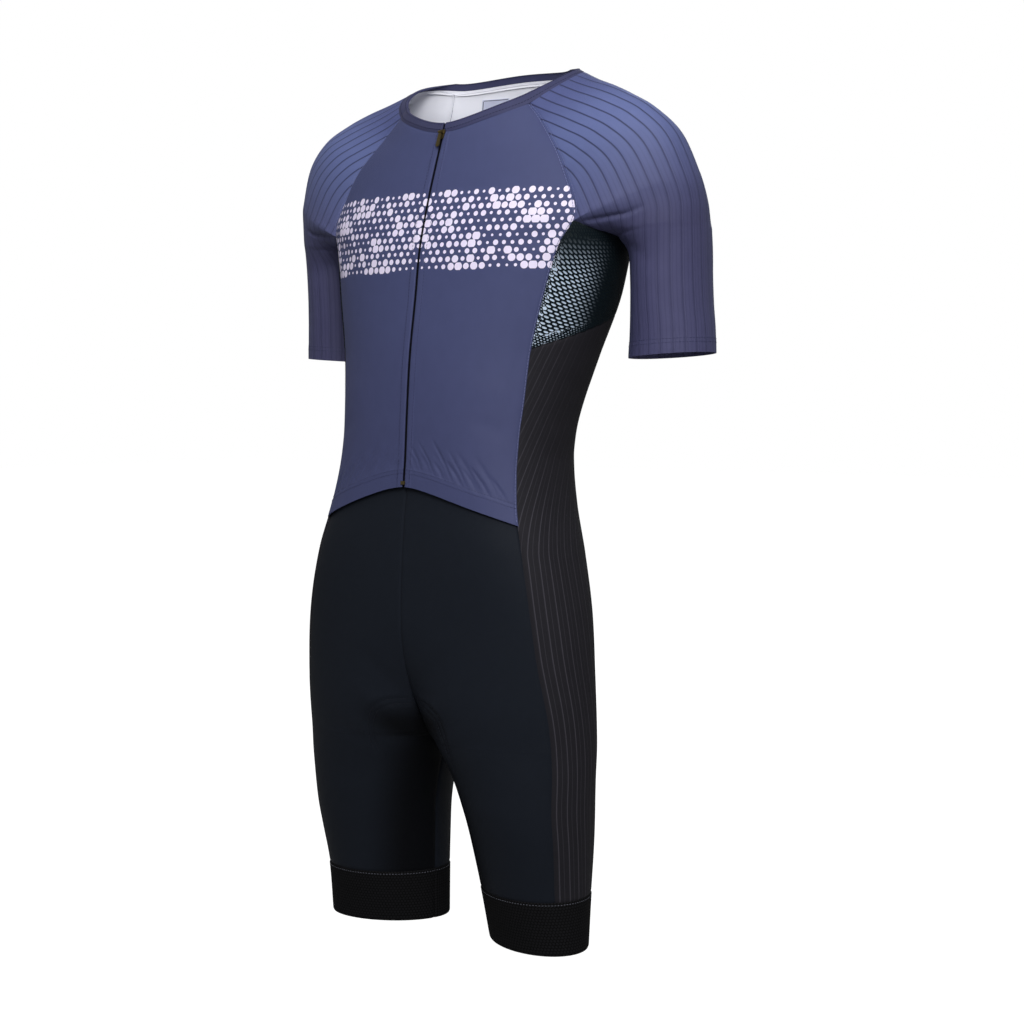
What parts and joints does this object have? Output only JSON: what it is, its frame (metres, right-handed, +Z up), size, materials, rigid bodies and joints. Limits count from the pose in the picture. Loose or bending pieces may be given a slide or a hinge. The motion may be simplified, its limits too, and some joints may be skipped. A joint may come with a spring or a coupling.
{
  "type": "triathlon suit",
  "caption": "Short-sleeved one-piece triathlon suit, filled out as worn, with a full front zip and raglan sleeves",
  "frame": {"origin": "midway between the two points where the collar crosses the shoulders", "axes": "+Z up, +X to the wearer's left, -Y out of the front"},
  "size_m": [0.522, 0.2359, 0.9076],
  "materials": {
    "front": "smooth knit, satin",
    "sleeve": "fine ribbed knit, satin",
    "collar": "folded knit binding",
    "mesh": "open mesh over dark knit",
    "side": "ribbed knit with faint pinstripes",
    "shorts": "smooth dense knit",
    "band": "finely dotted gripper band",
    "label": "plain woven label",
    "tape": "woven zip tape with nylon coil",
    "slider": "dull lacquered brass"
  },
  "bodies": {
    "suit": {"front_left": "front", "front_right": "front", "back": "front", "sleeve_left": "sleeve", "sleeve_right": "sleeve", "collar": "collar", "mesh_left": "mesh", "mesh_right": "mesh", "side_left": "side", "side_right": "side", "shorts_front_left": "shorts", "shorts_front_right": "shorts", "shorts_back_left": "shorts", "shorts_back_right": "shorts", "leg_band_left": "band", "leg_band_right": "band", "neck_label": "label", "zip_tape": "tape", "zip_slider": "slider", "zip_stop": "slider"},
    "pull": {"zip_pull": "slider"}
  },
  "joints": [
    {"name": "pull_hinge", "type": "hinge", "parent": "suit", "child": "pull", "pos_m": [0, -0.09147, -0.06616], "axis": [-1, 0, 0], "range_deg": [0, 150]}
  ]
}
